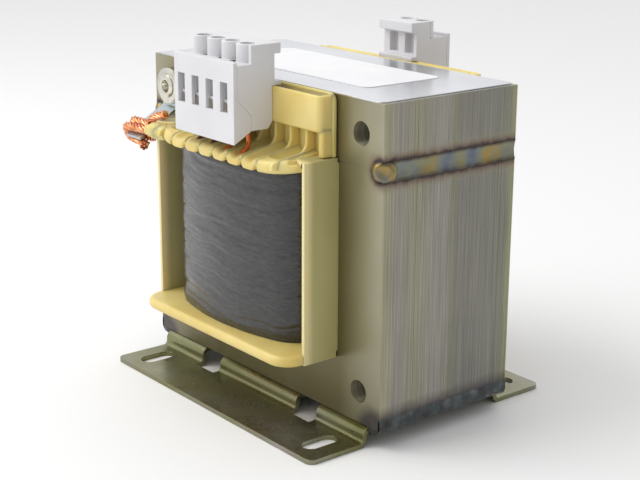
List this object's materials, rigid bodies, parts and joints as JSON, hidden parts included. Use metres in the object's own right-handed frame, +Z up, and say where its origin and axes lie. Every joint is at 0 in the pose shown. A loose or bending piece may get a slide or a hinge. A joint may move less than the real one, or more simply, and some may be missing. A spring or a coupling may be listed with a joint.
{
  "type": "laminated chassis transformer",
  "caption": "Laminated power transformer with a slotted foot bracket, a moulded coil former and screw terminal blocks above both sides of its coil.",
  "frame": {"origin": "centre of the footprint, on the plane the feet stand on", "axes": "+Z up; +Y along the width of the laminations; +X through the stack, away from the side with the larger terminal block"},
  "size_m": [0.079, 0.099, 0.0954],
  "materials": {
    "lamination_steel": "satin varnish",
    "seam_weld_steel": "gloss, blue and straw temper tints",
    "base_weld_steel": "gloss slate",
    "passivated_steel": "satin, olive passivated zinc",
    "former_plastic": "satin, slightly translucent",
    "enamelled_copper": "gloss enamel",
    "insulation_film": "gloss",
    "winding_tape": "gloss black",
    "terminal_plastic": "satin light grey",
    "zinc_screw_steel": "bright zinc",
    "clamp_steel": "bright zinc",
    "lead_sleeve": "satin",
    "zinc_tag_steel": "bluish zinc",
    "nickel_plate": "bright nickel",
    "bare_copper": "bright copper",
    "sheet_steel": "mirror-like",
    "label_paper": "matte white"
  },
  "bodies": {
    "root": {"core_e_stack": "lamination_steel", "core_i_stack": "lamination_steel", "seam_weld_right": "seam_weld_steel", "seam_weld_left": "seam_weld_steel", "base_weld_right": "base_weld_steel", "base_weld_left": "base_weld_steel", "mounting_bracket": "passivated_steel", "coil_former": "former_plastic", "side_cover_right": "former_plastic", "side_cover_left": "former_plastic", "primary_winding": "enamelled_copper", "layer_insulation": "insulation_film", "secondary_winding": "enamelled_copper", "winding_tape": "winding_tape", "terminal_body_front": "terminal_plastic", "terminal_cover_front": "terminal_plastic", "terminal_screws_front": "zinc_screw_steel", "clamp_cages_front": "clamp_steel", "terminal_body_rear": "terminal_plastic", "terminal_cover_rear": "terminal_plastic", "terminal_screws_rear": "zinc_screw_steel", "clamp_cages_rear": "clamp_steel", "sleeved_leads_front": "lead_sleeve", "bare_leads_front": "enamelled_copper", "bare_leads_rear": "enamelled_copper", "earth_tag": "zinc_tag_steel", "earth_washer": "nickel_plate", "earth_rivet": "nickel_plate", "earth_wire": "bare_copper", "top_sheet": "sheet_steel", "rating_label": "label_paper"}
  },
  "joints": []
}
